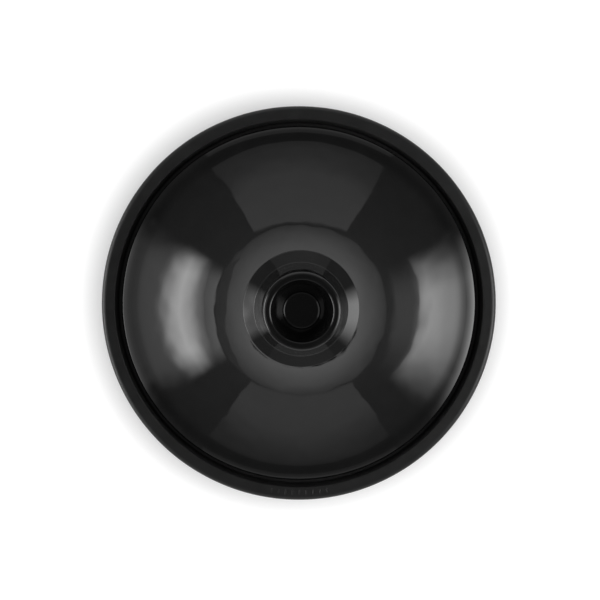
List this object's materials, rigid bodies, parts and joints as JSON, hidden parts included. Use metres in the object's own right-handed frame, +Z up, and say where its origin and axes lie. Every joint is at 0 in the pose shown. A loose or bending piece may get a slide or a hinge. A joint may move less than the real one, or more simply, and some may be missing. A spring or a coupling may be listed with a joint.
{
  "type": "tagine",
  "caption": "Round cooking pot: a shallow flared cast-iron base pan and a tall domed stoneware lid with a hollow-topped handle that lifts off.",
  "frame": {"origin": "centre of the base pan's foot ring, on the surface it stands on", "axes": "+Z up through the lid's handle, -Y towards the front, where the rim carries its raised mark"},
  "size_m": [0.31, 0.31, 0.1773],
  "materials": {
    "satin_black_enamel": "satin enamel",
    "gloss_black_glaze": "gloss glaze"
  },
  "bodies": {
    "base": {"base_pan": "satin_black_enamel"},
    "lid": {"domed_lid": "gloss_black_glaze"}
  },
  "joints": [
    {"name": "lid_lift", "type": "slide", "parent": "base", "child": "lid", "axis": [0, 0, 1], "range_m": [0, 0.25]}
  ]
}
